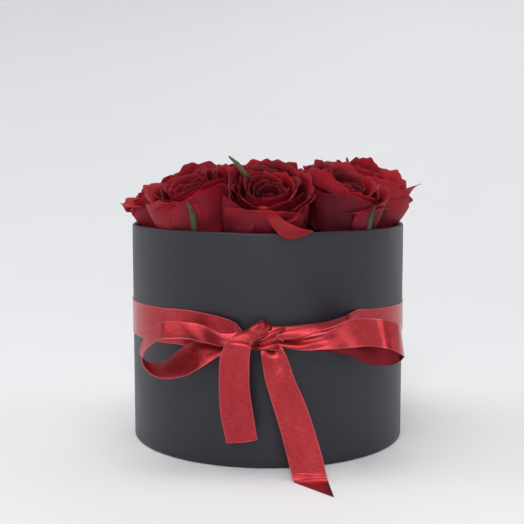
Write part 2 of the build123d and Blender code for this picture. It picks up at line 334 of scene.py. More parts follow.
# ---------------------------------------------------------------- camera, light, studio
def make_camera():
    """Camera a little above the rim, looking slightly down at the front of the box."""
    distance, height = 7.4607 * BOX_RADIUS * MM, 2.0965 * BOX_RADIUS * MM
    looks_down, turned_left = math.radians(6.325), math.radians(0.33)
    data = bpy.data.cameras.new("camera")
    data.lens = 68.95
    data.sensor_width = 36.0
    camera = bpy.data.objects.new("camera", data)
    camera.location = (0.0, -distance, height)
    camera.rotation_euler = (math.pi / 2 - looks_down, 0, turned_left)
    bpy.context.scene.collection.objects.link(camera)
    bpy.context.scene.camera = camera


# Lamps: name, place, diameter in metres and power in watts.
LAMPS = [
    ("key", (-0.15, -1.9, 1.35), 0.9, 19),
    ("top", (-0.15, -0.30, 2.3), 1.8, 22),
    ("left", (-1.6, 0.1, 1.35), 1.2, 6),
    ("right", (1.6, 0.1, 1.35), 1.2, 3.5),
    ("back", (0.4, 1.6, 1.5), 1.2, 4.5),
]


def area_light(name, place, size, power):
    """Round soft lamp, aimed at the middle of the box."""
    data = bpy.data.lights.new(name, "AREA")
    data.shape = "DISK"
    data.size = size
    data.energy = power
    light = bpy.data.objects.new(name, data)
    light.location = place
    aim = Vector((0, 0, 0.08)) - Vector(place)
    light.rotation_euler = aim.to_track_quat("-Z", "Y").to_euler()
    bpy.context.scene.collection.objects.link(light)


def make_studio():
    """Pale bowl-shaped sweep, soft lamps and a pale surround.

    The sweep is a little greyer in front, painted shade that evens out the lamp light on the floor near
    the box, and dark high up behind the camera."""
    s = Shader("studio_sweep").set(Specular_IOR_Level=0.1, Roughness=0.9)
    cloud = s.noise(s.place(), 1.5, 2)
    pale = s.ramp(cloud, [(0.2, (0.876, 0.880, 0.893)), (0.8, (0.886, 0.890, 0.903))])
    s.link(s.mix(s.attribute("grey"), pale, (0.08, 0.08, 0.085)), "Base Color")
    flat, bend, wall = 0.4, 2.6, 4.0
    profile = [(0.0, 0.0), (0.2, 0.0), (flat, 0.0)]
    profile += [(flat + bend * math.sin(a), bend - bend * math.cos(a))
                for a in np.linspace(0.04, math.pi / 2, 40)]
    profile.append((flat + bend, wall))
    turns = 96
    verts = [(r * math.cos(a) / MM, r * math.sin(a) / MM, z / MM)
             for a in np.linspace(0, 2 * math.pi, turns, endpoint=False) for r, z in profile]
    y, z = np.array(verts)[:, 1] * MM, np.array(verts)[:, 2] * MM
    behind_camera = smooth((-y - 0.9) / 0.6) * smooth((z - 0.5) / 0.5)
    # painted shade: greyer in front of the box, where the lamps light the floor most
    near_box = 0.06 * (1 - smooth((y - 0.4) / 1.6))
    sweep = new_mesh("studio_sweep", verts, ring_faces(turns, len(profile)), s.material,
                     {"grey": np.maximum(behind_camera, near_box)})
    for lamp in LAMPS:
        area_light(*lamp)
    world = bpy.data.worlds.new("surround")
    world.use_nodes = True
    background = world.node_tree.nodes["Background"]
    background.inputs["Color"].default_value = (0.965, 0.975, 1.0, 1)
    background.inputs["Strength"].default_value = 0.28
    bpy.context.scene.world = world
    bpy.context.scene.view_settings.view_transform = "Standard"


# ---------------------------------------------------------------- the papered box
def make_wrap():
    """Covering paper: outside, rounded rim, turn-in, and the hem under the base.

    The paper is lapped at the back and puckers slightly where it turns over the rim."""
    turns, paper_thick, turn_in, hem, corner = 360, 0.3, 15.0, 12.0, 1.0
    under, wall = 0.3, 2.75
    inner = BOX_RADIUS - wall
    line = [(BOX_RADIUS - hem, under), (BOX_RADIUS - corner, under)]
    line += [(BOX_RADIUS - corner + corner * math.sin(a), under + corner - corner * math.cos(a))
             for a in np.linspace(0.3, math.pi / 2, 5)]
    line += [(BOX_RADIUS, z) for z in np.linspace(5, BOX_HEIGHT - 14, 22)]
    line += [(BOX_RADIUS, z) for z in np.linspace(BOX_HEIGHT - 12.5, BOX_HEIGHT - 1.6, 14)]
    line += [(BOX_RADIUS - 1.3 + 1.3 * math.cos(a), BOX_HEIGHT - 1.3 + 1.3 * math.sin(a))
             for a in np.linspace(0.2, math.pi / 2, 7)]
    line += [(inner + 1.2 - 1.2 * math.sin(a), BOX_HEIGHT - 1.2 + 1.2 * math.cos(a))
             for a in np.linspace(0.2, math.pi / 2, 6)]
    line += [(inner, z) for z in np.linspace(BOX_HEIGHT - 2.5, BOX_HEIGHT - turn_in, 5)]
    line = np.array(line)
    angle = np.linspace(0, 2 * math.pi, turns, endpoint=False)
    a, r, z = angle[:, None], line[:, 0][None, :], line[:, 1][None, :]
    outside = (r > BOX_RADIUS - 1.4) & (z > under + 1)
    near_rim = np.exp(-((BOX_HEIGHT - z) / 6.0)) * outside
    ripple = 0.10 * np.sin(9 * a + 0.7) + 0.07 * np.sin(23 * a + 2.1) + 0.05 * np.sin(51 * a)
    # a short dent runs slantwise below the rim, left of the front
    across = (a - math.radians(270 - 38)) * BOX_RADIUS
    dent = np.exp(-((z - (BOX_HEIGHT - 3.4) - 0.05 * across) / 1.1) ** 2)
    dent = dent * np.exp(-(across / 11.0) ** 4)
    lap = 0.28 * smooth((a - math.radians(94)) * 40) * smooth((math.radians(104) - a) * 90)
    radius = r + outside * (near_rim * ripple - 0.30 * dent + lap)
    top = smooth((z - BOX_HEIGHT + 1.5) / 1.4)
    height = z + top * (0.10 * np.sin(5 * a + 1.0) + 0.07 * np.sin(17 * a + 0.4))
    verts = np.stack([radius * np.cos(a), radius * np.sin(a), height], -1).reshape(-1, 3)
    wrap = new_mesh("outer_wrap_paper", verts, ring_faces(turns, len(line)),
                    MATERIALS["charcoal_paper"])
    inwards = wrap.modifiers.new("thickness", "SOLIDIFY")
    inwards.thickness = paper_thick * MM
    inwards.offset = -1
    dress(wrap, "box", "charcoal_paper", "outer_wrap")


def dress(obj, body, slot, *nodes):
    """Hangs the piece under its body's empty and hides the CAD nodes that it stands for; the slot is
    not used.
    """
    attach(obj, body)
    if nodes:
        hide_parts(*nodes)


# ---------------------------------------------------------------- ribbon
def ribbon_mesh(name, one, two, folds, cup=0.0, across_count=25, dull=(0.0, 0.0)):
    """Closed strip of ribbon between two edge curves, each an array of points.

    folds(t, s) gives the height of the folds, t across from 0 to 1 and s along from 0 to 1,
    and cup bows the strip across its width. Both are in millimetres. The last argument gives the
    painted shade on each side, 0 to 1, first the side that the strip's normal points to: either a
    number or one for each point along the strip.

    Returns the object and the length of its centre line."""
    n = len(one)
    s = np.linspace(0, 1, n)
    even = np.linspace(0, 1, across_count)
    t = (0.5 - 0.5 * np.cos(math.pi * (0.1 + 0.8 * even)) / math.cos(0.1 * math.pi))[None, :, None]
    flat = one[:, None] * (1 - t) + two[:, None] * t
    along = unit(np.gradient((one + two) / 2, axis=0))
    across = unit(two - one)
    normal = unit(np.cross(along, across))[:, None]
    tt, ss = t[0, :, 0][None, :], s[:, None]
    lift = cup * (1 - (2 * tt - 1) ** 2) + folds(tt, ss)
    sheet = flat + normal * lift[..., None]
    du = np.gradient(sheet, axis=0)
    dv = np.gradient(sheet, axis=1)
    skin = unit(np.cross(du, dv))
    edge = np.exp(-(np.minimum(tt, 1 - tt) * RIBBON_WIDTH / 0.45) ** 2) * np.ones_like(ss)
    half = (0.5 * RIBBON_THICKNESS * (1 + 0.6 * edge))[..., None]
    steps = np.linalg.norm(np.diff((one + two) / 2, axis=0), axis=1)
    length = np.concatenate([[0], np.cumsum(steps)])
    front, back = sheet + skin * half, sheet - skin * half
    ring = np.concatenate([front, back[:, ::-1]], axis=1)
    count = 2 * across_count
    faces = []
    for i in range(n - 1):
        for j in range(count):
            k = (j + 1) % count
            faces.append((i * count + j, i * count + k, (i + 1) * count + k, (i + 1) * count + j))
    for i in (0, n - 1):
        for j in range(across_count - 1):
            cap = [i * count + j, i * count + j + 1, i * count + count - 2 - j,
                   i * count + count - 1 - j]
            faces.append(tuple(cap[::-1] if i else cap))
    both = np.concatenate([tt[0], tt[0][::-1]])
    layers = {"across": np.tile(both * RIBBON_WIDTH, n),
              "along": np.repeat(length, count),
              "edge": np.concatenate([edge, edge[:, ::-1]], axis=1),
              "painted_shade_amount": np.concatenate([np.ones((n, across_count)) * np.reshape(side, (-1, 1))
                                         for side in dull], axis=1)}
    uv = np.stack([layers["across"] / 100, layers["along"] / 100], -1)
    obj = new_mesh(name, ring.reshape(-1, 3), faces, MATERIALS["satin_ribbon"], layers, uv)
    return obj, float(length[-1])


def edge_pair(stations, count):
    """The two edge curves of a strip from its list of (edge, edge) points."""
    first = spline([a for a, b in stations], count)
    second = spline([b for a, b in stations], count)
    return first, second


def near(s, place, width):
    """Bump of height 1 round a place along or across the strip."""
    return np.exp(-((s - place) / width) ** 2)


def ribbon_piece(name, node, stations, held, rests_on, count, **look):
    """Strip of ribbon that stands for one CAD node."""
    obj, length = ribbon_mesh(name, *edge_pair(stations, count), **look)
    dress(obj, "box", "satin_ribbon", node)


# Edges of the band, upper and lower, from the knot outwards until it lies flat on the box.
# On the right it is gathered, turns its face up and folds over itself.
BAND_LEFT = (
    [(-3, -87, 72.5), (-8, -88, 74), (-12, -88.5, 76), (-15, -87.5, 79),
     (-17.5, -86.5, 81.5), (-21, -84.5, 83), (-27, -81.5, 84.5), (-35, -77, 85.5),
     (-43, -71.5, 86), (-51, -66, 86)],
    [(-3, -86.5, 68.5), (-8, -86, 68), (-13, -85.5, 67.5), (-17, -84.5, 67),
     (-21, -83.5, 66.5), (-25, -82, 66.5), (-31, -79, 66.5), (-38, -75.5, 66),
     (-44.5, -71, 66), (-51, -65.5, 66)],
)
BAND_RIGHT = (
    [(2, -87, 79.5), (9, -86.5, 79.5), (17, -85, 80), (25, -83, 80.5), (32, -80.5, 81),
     (38, -77.5, 82.5), (42.5, -74.5, 83.5), (46.5, -70.5, 85), (51, -66, 86)],
    [(2, -91, 73.5), (9, -92, 74), (17, -92.5, 74.5), (25, -93, 76), (32, -92.5, 77.5),
     (38, -91, 80), (43, -87, 81.5), (47.5, -76.5, 76), (52, -65, 66)],
)


def make_band():
    """Band round the box, from one side of the knot to the other."""
    clear, half = 0.3, RIBBON_WIDTH / 2
    meets_x, meets_y, past = 51, -65.6, 0.10
    start = math.atan2(meets_y, -meets_x) - past
    end = math.atan2(meets_y, meets_x) - 2 * math.pi + past
    angle = np.linspace(start, end, 300)
    x, y = np.cos(angle), np.sin(angle)
    middle = 74.0 - 0.025 * BOX_RADIUS * y + 0.25 * np.sin(3 * angle + 0.5)
    radius = BOX_RADIUS + clear
    edges = []
    for k, side in enumerate((1, -1)):
        gathered = half - 1.5 * near(angle, -2 * math.pi - 0.15, 0.55)
        ring = np.stack([radius * x, radius * y, middle + side * gathered], -1)
        knots = BAND_LEFT[k] + [tuple(ring[0])]
        left = spline(knots, 110)[:-1]
        knots = BAND_RIGHT[k] + [tuple(ring[-1])]
        right = spline(knots, 110)[::-1][1:]
        edges.append(np.vstack([left, ring, right]))

    def folds(t, s):
        left, right = np.exp(-(s / 0.050) ** 2), np.exp(-((1 - s) / 0.060) ** 2)
        height = 1.1 * left * np.sin(2 * math.pi * 2.3 * t + 0.8 + 30 * s)
        height = height + 0.5 * right * np.sin(2 * math.pi * 1.6 * t + 0.3)
        height = height + 2.6 * near(s, 0.955, 0.045) * (1 - (2 * t - 1) ** 2)
        return height + 0.06 * np.sin(70 * s + 3 * t) * smooth(s * 8) * smooth((1 - s) * 8)

    obj, length = ribbon_mesh("ribbon_band_satin", edges[0], edges[1], folds)
    dress(obj, "box", "satin_ribbon", "ribbon_band")


# Edges of the loops and tails, from the knot outwards.
LOOP_LEFT = [
    ((-6, -91, 71), (-6, -86, 77)),
    ((-15, -92.5, 70.5), (-15, -86, 76)),
    ((-24, -94, 70.5), (-24.5, -86, 75.5)),
    ((-33, -96, 73), (-34, -84, 79.5)),
    ((-41, -96.5, 75), (-42.5, -83, 81.5)),
    ((-49, -97, 75.5), (-51, -82, 82)),
    ((-56, -97, 74.5), (-58, -80.5, 80.5)),
    ((-61.5, -95, 71), (-64.5, -77, 75.5)),
    ((-65.5, -91, 66), (-69, -72, 68)),
    ((-67, -90, 61.5), (-70.5, -70.5, 62)),
    ((-64.5, -90, 57), (-67.5, -72, 58.5)),
    ((-59.5, -92, 53.5), (-61.5, -76, 57.5)),
    ((-52, -94, 52.5), (-55, -79, 59.5)),
    ((-43.5, -95, 54.5), (-46.5, -81, 66)),
    ((-35.5, -95, 59), (-39, -83, 70.5)),
    ((-25, -91.5, 65), (-29, -85, 70.5)),
    ((-15, -89, 68.5), (-17, -85, 72)),
    ((-6, -88, 70.5), (-6, -85, 74)),
]

LOOP_RIGHT = [
    ((5, -90, 76), (5, -91, 70.5)),
    ((12, -91.5, 75.5), (12, -92.5, 69)),
    ((19, -92.5, 76), (19, -93.5, 68)),
    ((30, -91, 79), (29, -93, 68.5)),
    ((38, -91.5, 82), (37, -93.5, 69)),
    ((45, -92.5, 85), (45, -95, 70)),
    ((54, -95, 85.5), (54, -97, 71)),
    ((62, -96.5, 85), (63, -98.5, 70)),
    ((68.5, -92, 82.5), (69.5, -95, 66.5)),
    ((71.5, -83, 79.5), (73, -87.5, 63.5)),
    ((71.5, -78, 77.5), (73, -82, 61.5)),
    ((70, -75, 76), (72.5, -78.5, 59.5)),
    ((66.5, -73, 75), (69, -76.5, 57)),
    ((62, -72.5, 75), (64.5, -75, 56)),
    ((56, -73, 75.5), (58.5, -75, 56)),
    ((49, -75, 77), (52, -77, 58.5)),
    ((41, -78.5, 78.5), (44, -80, 62.5)),
    ((30, -82.5, 77), (32, -84, 65.5)),
    ((17, -85.5, 75.5), (17, -87.5, 67.5)),
    ((5, -86, 75), (5, -87, 70)),
]

TAIL_LEFT = [
    ((-2, -84.5, 81.5), (3, -84.5, 78)),
    ((-3.5, -87.5, 83), (2, -87.5, 79.5)),
    ((-6, -91.5, 82), (0, -92.5, 77)),
    ((-10.5, -94.5, 79.5), (-3.5, -96.5, 75.5)),
    ((-15, -97.5, 78), (-7, -99.5, 74.5)),
    ((-20, -100, 75.5), (-8.5, -101.5, 73)),
    ((-23, -101.5, 71), (-9, -103, 69.5)),
    ((-25, -102, 64.5), (-9.5, -103.5, 64)),
    ((-25.5, -100.5, 51), (-9.5, -102, 50)),
    ((-25, -96.5, 35), (-7.5, -97, 34)),
    ((-22, -94.5, 18), (-5.5, -95, 20)),
]

TAIL_RIGHT_EDGES = (
    [(-4, -90, 71), (-3.5, -93, 66), (-2.8, -94.5, 61), (-1.3, -96, 52.5), (2.4, -97, 40),
     (7, -99, 25), (10.5, -102, 12), (12, -103.5, 6), (13, -104.5, 1.9),
     (14, -105.5, 0.4)],
    [(6, -90, 71), (9.5, -93, 66), (11.5, -94.5, 61), (15, -96, 51.5), (20.5, -97, 39),
     (25.5, -99, 24), (29, -102, 12), (30.5, -104, 5.5), (31.5, -106, 1.8),
     (32, -109, 0.4)],
)


def make_tail_right():
    """Long tail: its end lies on the surface and is cut at a slant to a point."""
    one = spline(TAIL_RIGHT_EDGES[0], 120)
    two = spline(TAIL_RIGHT_EDGES[1], 120)
    tip = np.array((33.2, -127.8, 0.4))
    run = np.linspace(0, 1, 31)[1:, None]
    one = np.vstack([one, one[-1] + (tip - one[-1]) * run * 0.97])
    two = np.vstack([two, two[-1] + (tip - two[-1]) * run])

    def folds(t, s):
        top = 0.9 * near(s, 0, 0.08) * np.sin(2 * math.pi * 1.3 * t + 0.4)
        crease = 0.55 * near(s, 0.15 + 0.12 * (1 - t), 0.035) - 0.5 * near(s, 0.25, 0.05)
        ripples = 0.10 * np.sin(300 * s + 1.5 * t) * near(s, 0.66, 0.05)
        bowed = 0.9 * (1 - (2 * t - 1) ** 2) * (1 - smooth((s - 0.62) / 0.1))
        return top - crease * smooth(s * 12) + ripples + 0.5 * near(s, 0.55, 0.06) - bowed

    # painted shade: the end that lies on the surface is darkened as it turns away from the light
    shaded_end = 0.75 * smooth((np.linspace(0, 1, len(one)) - 0.70) / 0.14)
    obj, length = ribbon_mesh("bow_tail_right_satin", one, two, folds, dull=(shaded_end, shaded_end))
    dress(obj, "box", "satin_ribbon", "bow_tail_right")


# Edges of the knot's wrap over its front, upper and lower, from left to right.
KNOT = [
    ((-10.5, -85.0, 75.5), (-10.5, -86, 68.5)),
    ((-10, -89.5, 75.2), (-10, -90, 68.3)),
    ((-5, -92.5, 76.5), (-5, -93.0, 68.2)),
    ((1, -93, 78.3), (1, -93.3, 68.2)),
    ((6.5, -91.5, 79.6), (6.5, -92, 68.2)),
    ((10, -88, 79.8), (10, -88.5, 68.6)),
    ((11, -84.4, 79.5), (11, -84.4, 69)),
]


def make_knot():
    """One snug turn of gathered ribbon over the band, under the short tail's strap."""
    def folds(t, s):
        slant = t + 0.35 * (s - 0.5)
        pull = np.sin(math.pi * np.clip(s, 0, 1)) ** 0.5
        waves = 0.75 * np.sin(2 * math.pi * 3.2 * slant + 0.6)
        waves = waves + 0.35 * np.sin(2 * math.pi * 7.1 * slant + 4 * s)
        return waves * (0.35 + 0.65 * pull)

    ribbon_piece("bow_knot_satin", "bow_knot", KNOT, "gathered", ["ribbon_band_satin"], 90,
                 folds=folds, cup=0.8, across_count=49)


# Threads that have worked loose at the knot, each a line of points.
LOOSE_THREADS = [
    [(-9.0, -95.6, 73.1), (-4.0, -95.6, 73.9), (-0.3, -95.6, 75.3), (1.6, -95.6, 77.0)],
    [(3.1, -95.6, 74.4), (5.0, -95.8, 75.5), (5.8, -95.6, 77.4)],
    [(4.4, -95.6, 77.0), (6.6, -95.8, 77.0), (8.6, -95.6, 78.0)],
    [(5.5, -95.6, 75.1), (7.2, -95.8, 74.0), (8.6, -95.6, 73.4)],
]


def make_loose_threads():
    """A few fine pale threads, each a round strand that lies on the knot."""
    strand, sides, count = 0.26, 7, 24
    verts, faces = [], []
    for points in LOOSE_THREADS:
        line = spline(points, count)
        along = unit(np.gradient(line, axis=0))
        one = unit(np.cross(along, (0.0, 1.0, 0.0)))
        two = np.cross(along, one)
        turn = np.linspace(0, 2 * math.pi, sides, endpoint=False)[None, :, None]
        taper = np.sin(np.linspace(0.12, math.pi - 0.12, count)) ** 0.4
        round_it = one[:, None] * np.cos(turn) + two[:, None] * np.sin(turn)
        tube = line[:, None] + strand * taper[:, None, None] * round_it
        start = sum(len(v) for v in verts)
        verts.append(tube.reshape(-1, 3))
        for i in range(count - 1):
            for j in range(sides):
                k = (j + 1) % sides
                faces.append((start + i * sides + j, start + i * sides + k,
                              start + (i + 1) * sides + k, start + (i + 1) * sides + j))
        last = start + (count - 1) * sides
        faces.append(tuple(range(start + sides - 1, start - 1, -1)))
        faces.append(tuple(range(last, last + sides)))
    verts = np.vstack(verts)
    # the threads take the paler colour of the ribbon's edges, its painted highlight
    layers = {"across": verts[:, 2], "along": verts[:, 0], "edge": np.ones(len(verts)),
              "painted_shade_amount": np.zeros(len(verts))}
    threads = new_mesh("bow_knot_loose_threads", verts, faces, MATERIALS["satin_ribbon"], layers,
                       verts[:, [0, 2]] / 100)
    dress(threads, "box", "satin_ribbon")


def make_ribbon():
    make_band()
    make_knot()
    make_loose_threads()

    def left_folds(t, s):
        ends = near(s, 0, 0.09) + near(s, 1, 0.10)
        swell = 0.5 * near(s, 0.30 + 0.03 * t, 0.08) - 0.3 * near(s, 0.43, 0.05)
        swell = swell - 0.35 * near(s, 0.60, 0.05) + 0.6 * near(s, 0.72 + 0.04 * t, 0.06)
        swell = swell + 0.5 * near(s, 0.20 + 0.05 * t, 0.03) - 0.5 * near(s, 0.345, 0.025)
        return 0.9 * ends * np.sin(2 * math.pi * 1.6 * t + 0.5) + swell

    ribbon_piece("bow_loop_left_satin", "bow_loop_left", LOOP_LEFT, "hung", ["bow_knot_satin"],
                 220, folds=left_folds, cup=0.5)

    def right_folds(t, s):
        ends = near(s, 0, 0.14) + near(s, 1, 0.14)
        slant = t + 1.5 * s
        bowed = 2.2 * (near(s, 0, 0.25) + near(s, 1, 0.3)) * (1 - (2 * t - 1) ** 2)
        dip = 0.5 * near(s, 0.18 + 0.06 * t, 0.04) + 1.2 * near(s, 0.32 + 0.05 * t, 0.045)
        return 1.8 * ends * np.sin(2 * math.pi * 1.5 * slant + 2.6) + bowed - dip

    # painted shade on the inside of the right loop, which lies in the loop's own shade
    ribbon_piece("bow_loop_right_satin", "bow_loop_right", LOOP_RIGHT, "hung",
                 ["bow_knot_satin"], 220, folds=right_folds, dull=(1.0, 0.0))

    def strap_folds(t, s):
        strap = 0.5 * near(s, 0.1, 0.2) * np.sin(2 * math.pi * 1.5 * t)
        return strap + 0.35 * near(s, 0.55, 0.06) - 0.35 * near(s, 0.76 - 0.05 * t, 0.07)

    ribbon_piece("bow_tail_left_satin", "bow_tail_left", TAIL_LEFT, "hung",
                 ["bow_knot_satin"], 200, folds=strap_folds, cup=1.1)
    make_tail_right()


# ---------------------------------------------------------------- roses
# Each rose: name, bearing in degrees (-90 is the front), distance of the flower's middle from
# the box's axis, height of that middle above the rim, lean of the flower, lean of the stem,
# flower radius and length as in the CAD, how far it has opened (0 is a bud, 1 is wide open),
# a turn in degrees and how tall its petals stand for a flower of that length.
ROSES = [
    ("rose_01", -90, 58.0, 15.0, 33, 10, 22.5, 40, 0.55, 20, 0.93),
    ("rose_02", -45, 59.0, 15.5, 28, 9, 22.0, 40, 0.50, 75, 0.95),
    ("rose_03", 0, 59.5, 15.0, 28, 9, 22.5, 39, 0.75, 10, 0.97),
    ("rose_04", 45, 59.0, 15.5, 24, 9, 22.5, 40, 0.55, 140, 0.91),
    ("rose_05", 90, 59.0, 16.0, 24, 9, 22.5, 40, 0.60, 35, 0.93),
    ("rose_06", 135, 59.0, 15.5, 24, 9, 22.5, 40, 0.55, 250, 0.87),
    ("rose_07", 180, 59.5, 13.5, 30, 9, 22.0, 37, 0.80, 300, 0.89),
    ("rose_08", -135, 59.0, 14.5, 27, 9, 22.5, 39, 0.50, 190, 0.94),
    ("rose_09", 0, 25.0, 16.0, 6, 3, 17.5, 39, 0.35, 60, 0.93),
    ("rose_10", 90, 25.0, 17.0, 5, 3, 17.5, 39, 0.45, 110, 0.93),
    ("rose_11", 180, 25.0, 16.0, 6, 3, 17.5, 39, 0.25, 200, 0.92),
    ("rose_12", -90, 23.0, 17.0, 5, 3, 17.5, 39, 0.50, 330, 0.97),
]

# Outermost petals placed one by one on the roses that show from the front. Each: bearing of the
# petal's middle, radius at the belly and at the rim, height of the rim from the flower's foot,
# half width, roll of the lip in degrees, where the lip starts (0 foot, 1 rim) and a tone from
# 0, bright, to 1, dark.
# the tones are painted light and shade: bright petals face the light, dark ones lie in shade
SHOWN_PETALS = {
    "rose_01": [(165, 22.0, 20.5, 37.5, 17, 30, 0.85, 0.3),
                (95, 19.0, 18.5, 33.5, 20, 25, 0.88, 0.2),
                (10, 22.0, 21.5, 34, 19, 40, 0.84, 0.25),
                (-40, 23.0, 23.0, 33, 17, 45, 0.82, 0.6),
                (-98, 24.0, 24.0, 32.5, 24, 28, 0.90, 0.35),
                (-146, 26.0, 22.5, 30, 17, 20, 0.90, 0.45)],
    "rose_08": [(170, 22.0, 21.5, 36, 20, 60, 0.80, 0.2),
                (-72, 24.0, 23.5, 33, 20, 35, 0.88, 0.25),
                (-128, 24.0, 23.5, 33, 21, 35, 0.88, 0.05)],
    "rose_07": [(150, 21.5, 23.0, 34, 19, 90, 0.72, 0.2),
                (-165, 22.0, 22.5, 32, 18, 95, 0.72, 0.0),
                (-112, 22.5, 22.0, 28, 20, 60, 0.82, 0.1)],
    "rose_02": [(-130, 21.5, 20.5, 38, 19, 25, 0.86, 0.1),
                (-30, 24.0, 23.5, 33, 20, 40, 0.86, 0.5),
                (-84, 24.0, 23.5, 33, 22, 30, 0.88, 0.9)],
    "rose_03": [(108, 18.0, 16.5, 41.5, 18, 30, 0.84, 0.5),
                (55, 19.5, 18.0, 42.5, 18, 35, 0.84, 0.3),
                (-8, 22.0, 22.5, 42, 19, 45, 0.84, 0.1),
                (-66, 24.0, 24.0, 34, 24, 28, 0.90, 0.05)],
}


class Rose:
    """One rose's place in the box and the frame that its petals are drawn in."""

    def __init__(self, name, bearing, distance, above, lean, stem_lean, radius, length, bloom,
                 turn, tall):
        b = math.radians(bearing)
        self.name, self.bearing, self.radius, self.length = name, bearing, radius, length
        self.bloom, self.turn, self.tall = bloom, turn, tall * length / 40.0
        self.out = np.array([math.cos(b), math.sin(b), 0.0])
        self.up = self.leaning(lean)
        self.stem = self.leaning(stem_lean)
        self.middle = self.out * distance + np.array([0, 0, BOX_HEIGHT + above])
        self.foot = self.middle - self.up * length / 2
        self.side = unit(np.cross(self.out, self.up))
        self.front = np.cross(self.up, self.side)
        self.seed = int(name[-2:]) * 7919

    def leaning(self, lean):
        a = math.radians(lean)
        return self.out * math.sin(a) + np.array([0, 0, math.cos(a)])

    def world(self, local):
        return (self.foot + local[..., :1] * self.front + local[..., 1:2] * self.side
                + local[..., 2:] * self.up)


def shared_planes(roses):
    """For each rose, the planes that it shares with its neighbours, as (point, normal)."""
    planes = {rose.name: [] for rose in roses}
    for rose in roses:
        for other in roses:
            towards = other.middle - rose.middle
            gap = np.linalg.norm(towards)
            if other is rose or gap > rose.radius + other.radius + 12:
                continue
            level = unit(towards * np.array([1, 1, 0]))
            normal = level
            if level @ rose.stem > 0:
                normal = level - rose.stem * (level @ rose.stem)
            if level @ other.stem < 0:
                normal = level - other.stem * (level @ other.stem)
            share = (gap**2 + rose.radius**2 - other.radius**2) / (2 * gap)
            planes[rose.name].append((rose.middle + towards / gap * share, unit(normal)))
    return planes


def press(points, planes, softness=1.2, gap=0.35):
    """Petals give way where they meet the next flower: points never cross a shared plane."""
    for point, normal in planes:
        depth = (points - point) @ normal + gap
        eased = -softness * np.logaddexp(0, -depth / softness)
        points = points + (eased - depth)[..., None] * normal
    return points


def petal(azimuth, belly, rim, top, half, roll, lip, tone, rng, waver, foot=3.5, flat=0.25,
          spiral=0.8, tip=0.04, corner=0.20, low=0.22):
    """One petal as a grid of points in the flower's own frame, from its foot to its rim.

    Across the petal u runs from -1 to 1, and along it v runs from 0 to 1."""
    nu, nv = 25, 30
    u = np.linspace(-1, 1, nu)[:, None]
    v = np.linspace(0, 1, nv)[None, :]
    outline = 1 - corner * np.abs(u) ** 2.8 + tip * np.exp(-(u / 0.22) ** 2)
    outline = outline + 0.014 * np.sin(9 * u + 6 * tone) + 0.012 * np.sin(19 * u + 31 * tone)
    a = v * outline
    fine = np.linspace(0, 1.15, 231)
    swell = np.sin(math.pi / 2 * np.clip(fine / low, 0, 1)) ** 0.85
    radius = foot + (belly - foot) * swell + (rim - belly) * smooth((fine - 0.5) / 0.5)
    height = top * fine
    slope_r = np.interp(a, fine, np.gradient(radius, fine))
    slope_z = np.interp(a, fine, np.gradient(height, fine))
    lean, speed = np.arctan2(slope_z, slope_r), np.hypot(slope_r, slope_z)
    curl = math.radians(roll) * (0.75 + 0.55 * np.abs(u) ** 1.5)
    curl = curl * (1 + 0.25 * np.sin(2.4 * u + rng.uniform(0, 6.3)))
    lip_start = lip - 0.10 * np.abs(u) ** 2
    lean = lean - curl * np.clip((a - lip_start) / (1 - lip), 0, 1.3) ** 1.25
    step = outline / (nv - 1)
    dr, dz = np.cos(lean) * speed * step, np.sin(lean) * speed * step
    r = foot + np.cumsum(dr, axis=1) - 0.5 * (dr + dr[:, :1])
    z = np.cumsum(dz, axis=1) - 0.5 * (dz + dz[:, :1])
    width = half * (0.20 + 0.80 * smooth(a / 0.6)) * (1 - 0.06 * smooth((a - 0.75) / 0.25))
    hug = np.maximum(r * (1 + flat * smooth(a / 0.8)), 1.5)
    phi = np.clip(u * width / hug, -2.75, 2.75)
    r = r + spiral * u * smooth(a / 0.4)
    high = smooth((a - 0.45) / 0.55)
    p = rng.uniform(0, 6.3, 4)
    r = r + waver * high * (np.sin(3.1 * u + p[0]) + 0.5 * np.sin(7.3 * u + p[1]))
    z = z + waver * high * (0.9 * np.sin(2.7 * u + p[2]) + 0.5 * np.sin(6.1 * u + p[3]))
    x, y = r - hug + hug * np.cos(phi), hug * np.sin(phi)
    c, s = math.cos(azimuth), math.sin(azimuth)
    local = np.stack([x * c - y * s, x * s + y * c, z], -1)
    rim_near = np.maximum(v, np.abs(u) ** 6 * smooth(v / 0.7))
    layers = {"rim": rim_near, "across": u + 0 * v, "tone": tone + 0 * rim_near}
    return local, layers


